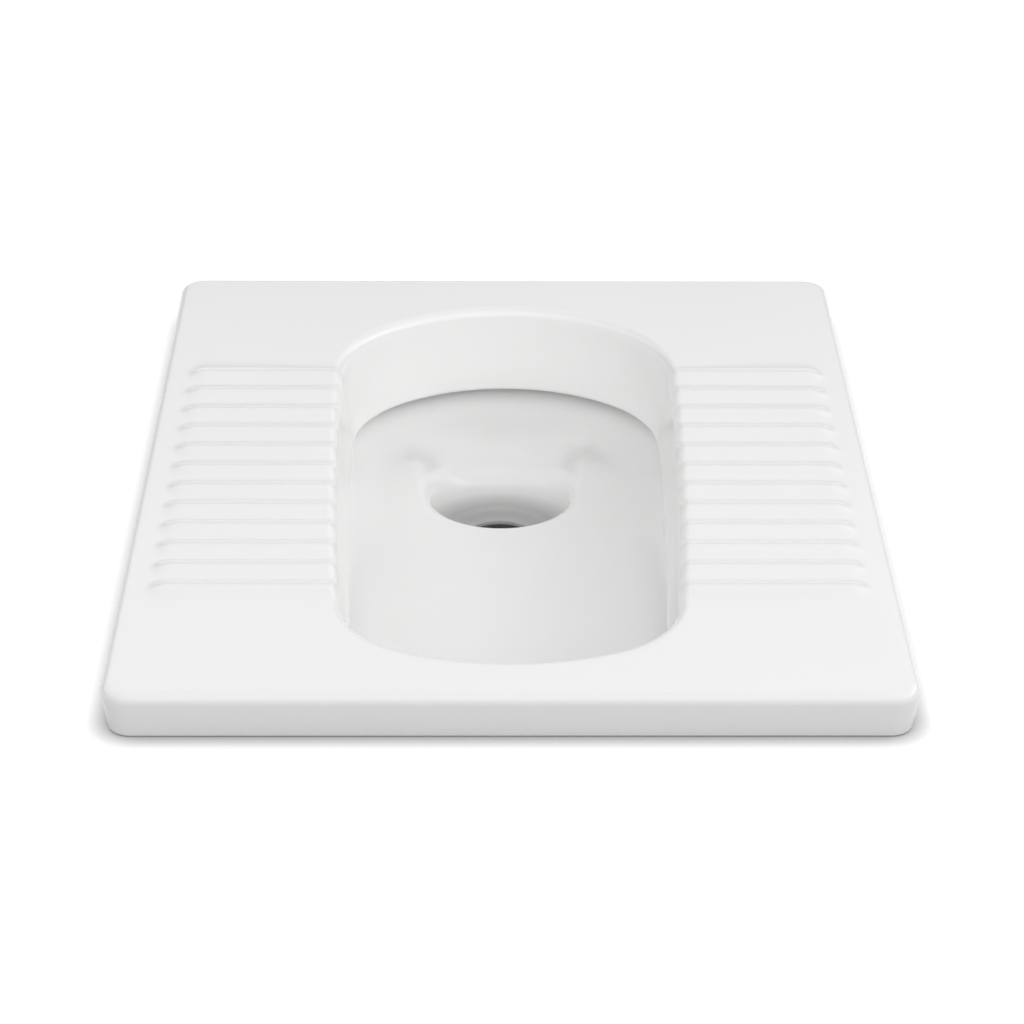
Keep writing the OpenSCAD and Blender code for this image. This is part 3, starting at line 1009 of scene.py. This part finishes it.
class SQUATPAN_OT_pan(bpy.types.Operator):
    """Model the china pan: bowl, flush rim, ribbed plate, skirt, sump and flush inlet horn"""

    bl_idname = "squatpan.pan"
    bl_label = "China Pan"

    def execute(self, context):
        stations = pan_section()
        pan = pan_body(stations)
        notch = horn_notch()
        apply_modifier(pan, "BOOLEAN", operation="DIFFERENCE", solver="EXACT", object=notch)
        extras = horn_and_webs()
        apply_modifier(pan, "BOOLEAN", operation="UNION", solver="EXACT", object=extras)
        bore = water_way()
        apply_modifier(pan, "BOOLEAN", operation="DIFFERENCE", solver="EXACT", object=bore)
        for cutter in (notch, extras, bore):
            remove_piece(cutter)
        smooth_by_angle(pan)
        dress(pan, china_material(context.scene.squatpan_glaze), "pan")
        return {"FINISHED"}


# ---------------------------------------------------------------- the fittings


def rubber_material(look):
    """Moulded black rubber with a faint bloom."""
    shader = Shader("black_rubber")
    bloom = shader.noise(22.0, 4.0, 0.6)
    grain = shader.noise(700.0, 2.0)
    colour = shader.colours(
        bloom.between(0.35, 0.75), rgba(look.rubber_colour), rgba(look.rubber_colour, 2.1)
    )
    return shader.surface(
        Base_Color=colour,
        Roughness=bloom * 0.2 + 0.42,
        Normal=shader.bump(grain, 0.35, 0.0002),
    )


def plastic_material(look):
    """Moulded grey plastic with a faint flow pattern."""
    shader = Shader("grey_plastic")
    flow = shader.noise(9.0, 3.0)
    grain = shader.noise(500.0, 2.0)
    colour = shader.colours(
        flow.between(0.3, 0.7), rgba(look.plastic_colour, 0.93), rgba(look.plastic_colour)
    )
    return shader.surface(
        Base_Color=colour,
        Roughness=grain * 0.12 + 0.36,
        Normal=shader.bump(grain, 0.25, 0.00015),
    )


class SQUATPAN_OT_rubber(bpy.types.Operator):
    """Turn the flush inlet bush and the connector's seal"""

    bl_idname = "squatpan.rubber"
    bl_label = "Rubber Bush and Seal"

    def execute(self, context):
        rubber = rubber_material(context.scene.squatpan_fittings)
        sleeve_len, sleeve_r, pipe_r, rings = SOCKET_DEPTH - 2, SOCKET_R - 1.5, FLUSH_PIPE_R, 4
        pitch = sleeve_len / rings
        outer = [(pipe_r, -sleeve_len)]
        for i in range(rings):
            low = -sleeve_len + i * pitch
            outer += [(sleeve_r, low), (SOCKET_R, low + pitch / 2), (sleeve_r, low + pitch / 2)]
        outer += [(sleeve_r, 0), (SOCKET_R + 5, 0), (SOCKET_R + 5, 3), (pipe_r + 3, 3), (pipe_r, 0)]
        bush = turned(
            "flush_bush",
            rounded_profile(outer, 0.5, 2),
            (0, (PLATE_L / 2 + HORN_OUT) * MM, INLET_Z * MM),
            (0, 1, 0),
        )
        smooth_by_angle(bush, 40)
        dress(bush, rubber, "flush_inlet_bush")

        socket_in, rim, low = CONNECTOR_R, CONNECTOR_RIM_Z, SPIGOT_Z + 2
        sleeve_in, collar_in, collar_r = socket_in - 2.5, socket_in + CONNECTOR_T, socket_in + 6
        lip_pitch = (rim - low) / 3
        profile = [(socket_in, low), (socket_in, rim), (collar_in, rim)]
        profile += [(collar_in, rim - 8), (collar_r, rim - 8), (collar_r, rim + 2.5)]
        profile += [(sleeve_in, rim + 2.5)]
        for i in (3, 2, 1):
            top = low + i * lip_pitch
            profile += [(sleeve_in, top), (SPIGOT_R, top - lip_pitch / 2)]
            profile += [(SPIGOT_R, top - lip_pitch / 2 - 1.6), (sleeve_in, top - 1.6)]
        profile += [(sleeve_in, low)]
        seal = turned(
            "drain_seal",
            rounded_profile(profile, 0.5, 2),
            (OUTLET_X * MM, OUTLET_Y * MM, 0),
            (0, 0, 1),
            128,
        )
        smooth_by_angle(seal, 40)
        dress(seal, rubber, "connector_seal")
        return {"FINISHED"}


class SQUATPAN_OT_connector(bpy.types.Operator):
    """Turn the plastic drain connector under the pan"""

    bl_idname = "squatpan.connector"
    bl_label = "Drain Connector"

    def execute(self, context):
        pipe_r, wall = DRAIN_PIPE_R, CONNECTOR_T
        socket_in, drain_in = CONNECTOR_R, pipe_r - wall
        rim, shoulder = CONNECTOR_RIM_Z, SPIGOT_Z - 3
        neck = shoulder - 18
        end = neck - 60
        profile = [
            (drain_in, end),
            (pipe_r - 1.5, end),
            (pipe_r, end + 6),
            (pipe_r, neck),
            (socket_in + wall, shoulder),
            (socket_in + wall, rim),
            (socket_in, rim),
            (socket_in, shoulder),
            (drain_in, neck),
        ]
        connector = turned(
            "drain_pipe",
            rounded_profile(profile, 1.2, 4),
            (OUTLET_X * MM, OUTLET_Y * MM, 0),
            (0, 0, 1),
            128,
        )
        smooth_by_angle(connector, 40)
        plastic = plastic_material(context.scene.squatpan_fittings)
        dress(connector, plastic, "drain_connector")
        return {"FINISHED"}


# ---------------------------------------------------------------- the stage


# Size of the floor's hole and how far its middle is behind the pan's, in metres
HOLE_W, HOLE_L, HOLE_SHIFT = 0.44, 0.566, 0.003
FLOOR_BORDER = 3.78
# What the camera sees of the floor: its grey, its glow, and the reach and power of the painted
# shadow that dims the glow near the pan
FLOOR_GREY, FLOOR_GLOW, SHADE_REACH, SHADE_POWER = 0.3, 0.82, 0.015, 1.6


def floor_material(colour):
    """A floor that the camera and reflections see as white but for shade: real shadows on its grey,
    and a painted shadow where ambient occlusion dims its glow near the pan.
    """
    shader = Shader("studio_floor")
    fleck = shader.noise(40.0, 2.0)
    shader.surface(
        Base_Color=shader.colours(fleck, rgba(colour, 0.99), rgba(colour)),
        Roughness=0.8,
        Specular_IOR_Level=0.2,
    )
    rays = shader.node("ShaderNodeLightPath")
    seen = shader.node("ShaderNodeBsdfDiffuse", {}, {"Color": rgba((FLOOR_GREY,) * 3)})
    # Painted shadow: ambient occlusion near the pan dims the floor's glow
    nearby = shader.node("ShaderNodeAmbientOcclusion", {}, {"Distance": SHADE_REACH})
    open_share = Wire(shader, nearby.outputs["AO"])
    shade = open_share.maths("POWER", open_share, SHADE_POWER) * FLOOR_GLOW
    glow = shader.node("ShaderNodeEmission", {}, {"Strength": shade})
    both = shader.node("ShaderNodeAddShader")
    mix = shader.node("ShaderNodeMixShader")
    camera = Wire(shader, rays.outputs["Is Camera Ray"])
    direct = camera.maths("MAXIMUM", camera, Wire(shader, rays.outputs["Is Glossy Ray"]))
    links = shader.tree.links
    links.new(seen.outputs[0], both.inputs[0])
    links.new(glow.outputs[0], both.inputs[1])
    links.new(direct.socket, mix.inputs[0])
    links.new(shader.principled.outputs[0], mix.inputs[1])
    links.new(both.outputs[0], mix.inputs[2])
    links.new(mix.outputs[0], shader.output.inputs["Surface"])
    return shader.material


def studio_floor(colour):
    """A wide floor with a hole under the pan, which the pan's skirt covers."""
    clear_selection()
    bpy.ops.mesh.primitive_plane_add(size=1, location=(0, SEAT * MM + HOLE_SHIFT, 0))
    floor = bpy.context.object
    floor.name = "studio_floor"
    floor.scale = (HOLE_W + 2 * FLOOR_BORDER, HOLE_L + 2 * FLOOR_BORDER, 1)
    bpy.ops.object.transform_apply(location=True, rotation=True, scale=True)
    edit_all()
    bpy.ops.mesh.inset(thickness=FLOOR_BORDER, depth=0)
    bpy.ops.mesh.delete(type="ONLY_FACE")
    bpy.ops.object.mode_set(mode="OBJECT")
    floor.data.materials.append(floor_material(colour))


def soil_pipe():
    """A dark, closed pipe under the connector, which keeps the room's light out of the drain."""
    top, low, bottom_t = SPIGOT_Z - 65, SPIGOT_Z - 200, 6
    outer_r, inner_r = DRAIN_PIPE_R + 7, DRAIN_PIPE_R + 1.5
    profile = [(0, low), (outer_r, low), (outer_r, top), (inner_r, top)]
    profile += [(inner_r, low + bottom_t), (0, low + bottom_t)]
    pipe = turned("soil_pipe", profile, (OUTLET_X * MM, OUTLET_Y * MM, 0), (0, 0, 1), 64)
    shader = Shader("dark_pipe")
    fleck = shader.noise(60.0, 2.0)
    dark = shader.colours(fleck, (0.03, 0.03, 0.03, 1), (0.05, 0.05, 0.048, 1))
    pipe.data.materials.append(shader.surface(Base_Color=dark, Roughness=0.8))
    seated(pipe)


# Places of the soft lamps, all square and aimed at the pan's middle, in metres
LAMP_SIZE = 1.3
LAMP_PLACES = {
    "right": (0.95, SEAT * MM, 0.95),
    "left": (-0.95, SEAT * MM, 0.95),
    "front": (0, -0.4, 1.17),
}

# Strength of the room's light in front, right, behind and left, by the sine of its height
BAND_STEP = 0.25
ROOM_BANDS = {
    0.0: (0.6, 0, 1.2, 0),
    0.25: (0.4, 0, 0.2, 0),
    0.5: (1.8, 3.0, 0.95, 1.25),
    0.75: (0.7, 0.2, 0.4, 0.55),
    1.0: (0.06, 0.06, 0.06, 0.06),
}


def soft_lamp(name, place, power):
    """A large square lamp that points at the pan."""
    lamp = bpy.data.lights.new(name, "AREA")
    lamp.shape = "SQUARE"
    lamp.size = LAMP_SIZE
    lamp.energy = power
    holder = bpy.data.objects.new(name, lamp)
    bpy.context.scene.collection.objects.link(holder)
    holder.location = place
    way = Vector((0, SEAT * MM, 0)) - Vector(place)
    holder.rotation_euler = way.to_track_quat("-Z", "Y").to_euler()


def room_light(strength):
    """A white room with soft light that changes with height and direction."""
    world = bpy.data.worlds.new("white_room")
    world.use_nodes = True
    tree = world.node_tree

    def maths(operation, first, second=0.0):
        node = tree.nodes.new("ShaderNodeMath")
        node.operation = operation
        for socket, value in zip(node.inputs, (first, second), strict=False):
            if isinstance(value, (int, float)):
                socket.default_value = value
            else:
                tree.links.new(value, socket)
        return node.outputs[0]

    place = tree.nodes.new("ShaderNodeTexCoord")
    parts = tree.nodes.new("ShaderNodeSeparateXYZ")
    tree.links.new(place.outputs["Generated"], parts.inputs[0])
    x, y, z = parts.outputs
    level = maths("SQRT", maths("SUBTRACT", 1, maths("MULTIPLY", z, z)))
    ways = (maths("MULTIPLY", y, -1), x, y, maths("MULTIPLY", x, -1))
    lobes = [maths("POWER", maths("MAXIMUM", maths("DIVIDE", way, level), 0), 2) for way in ways]
    total = 0.0
    for height, gains in ROOM_BANDS.items():
        away = maths("ABSOLUTE", maths("SUBTRACT", z, height))
        band = maths("MAXIMUM", maths("SUBTRACT", 1, maths("DIVIDE", away, BAND_STEP)), 0)
        for gain, lobe in zip(gains, lobes, strict=True):
            if gain:
                total = maths("ADD", total, maths("MULTIPLY", maths("MULTIPLY", band, lobe), gain))
    background = tree.nodes["Background"]
    background.inputs["Color"].default_value = (1, 1, 1, 1)
    tree.links.new(maths("MULTIPLY", total, strength), background.inputs["Strength"])
    seen = tree.nodes.new("ShaderNodeBackground")
    seen.inputs["Color"].default_value = (1, 1, 1, 1)
    rays = tree.nodes.new("ShaderNodeLightPath")
    mix = tree.nodes.new("ShaderNodeMixShader")
    tree.links.new(rays.outputs["Is Camera Ray"], mix.inputs[0])
    tree.links.new(background.outputs[0], mix.inputs[1])
    tree.links.new(seen.outputs[0], mix.inputs[2])
    tree.links.new(mix.outputs[0], tree.nodes["World Output"].inputs[0])
    bpy.context.scene.world = world


# Place of the camera from the middle of the plate in metres, and its turns in degrees
CAMERA_PLACE = (-0.0195, -1.7925, 0.9968)
CAMERA_YAW, CAMERA_PITCH, CAMERA_ROLL = 0.734, 29.298, 0.393


def photo_camera(focal_length):
    """The camera at the photograph's place, turned as the photograph is."""
    camera = bpy.data.cameras.new("camera")
    camera.sensor_width = 36
    camera.lens = focal_length
    camera.clip_start, camera.clip_end = 0.05, 50
    holder = bpy.data.objects.new("camera", camera)
    bpy.context.scene.collection.objects.link(holder)
    yaw, pitch, roll = (math.radians(a) for a in (CAMERA_YAW, CAMERA_PITCH, CAMERA_ROLL))
    forward = Vector(
        (math.sin(yaw) * math.cos(pitch), math.cos(yaw) * math.cos(pitch), -math.sin(pitch))
    )
    level = Vector((math.cos(yaw), -math.sin(yaw), 0))
    above = level.cross(forward)
    right = level * math.cos(roll) + above * math.sin(roll)
    up = above * math.cos(roll) - level * math.sin(roll)
    turn = Matrix((right, up, -forward)).transposed()
    place = Vector(CAMERA_PLACE) + Vector((0, SEAT * MM, 0))
    holder.matrix_world = Matrix.Translation(place) @ turn.to_4x4()
    bpy.context.scene.camera = holder


class SQUATPAN_OT_studio(bpy.types.Operator):
    """Set up the floor, the lamps and the camera"""

    bl_idname = "squatpan.studio"
    bl_label = "Studio"

    def execute(self, context):
        look = context.scene.squatpan_studio
        studio_floor(look.floor_colour)
        soil_pipe()
        for name, place in LAMP_PLACES.items():
            soft_lamp(name, place, getattr(look, f"{name}_power"))
        room_light(look.room_strength)
        photo_camera(look.focal_length)
        context.scene.view_settings.view_transform = "Standard"
        return {"FINISHED"}


class SQUATPAN_PT_panel(bpy.types.Panel):
    """Lists the pieces and their settings"""

    bl_idname = "SQUATPAN_PT_panel"
    bl_label = "Squat Pan"
    bl_space_type = "VIEW_3D"
    bl_region_type = "UI"
    bl_category = "Squat Pan"

    def draw(self, context):
        scene = context.scene
        for look in (scene.squatpan_glaze, scene.squatpan_fittings, scene.squatpan_studio):
            box = self.layout.box()
            for name in look.__annotations__:
                box.prop(look, name)
        for operator in OPERATORS:
            self.layout.operator(operator.bl_idname)


OPERATORS = (
    SQUATPAN_OT_studio,
    SQUATPAN_OT_pan,
    SQUATPAN_OT_rubber,
    SQUATPAN_OT_connector,
)
SETTINGS = {
    "squatpan_glaze": GlazeSettings,
    "squatpan_fittings": FittingSettings,
    "squatpan_studio": StudioSettings,
}


def register():
    for group in SETTINGS.values():
        bpy.utils.register_class(group)
    for name, group in SETTINGS.items():
        setattr(bpy.types.Scene, name, bpy.props.PointerProperty(type=group))
    for operator in OPERATORS:
        bpy.utils.register_class(operator)
    bpy.utils.register_class(SQUATPAN_PT_panel)


def unregister():
    bpy.utils.unregister_class(SQUATPAN_PT_panel)
    for operator in reversed(OPERATORS):
        bpy.utils.unregister_class(operator)
    for name in SETTINGS:
        delattr(bpy.types.Scene, name)
    for group in reversed(list(SETTINGS.values())):
        bpy.utils.unregister_class(group)


def main():
    """Registers the add-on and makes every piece."""
    register()
    bpy.ops.squatpan.studio()
    bpy.ops.squatpan.pan()
    bpy.ops.squatpan.rubber()
    bpy.ops.squatpan.connector()
    clear_selection()


if __name__ == "__main__":
    main()
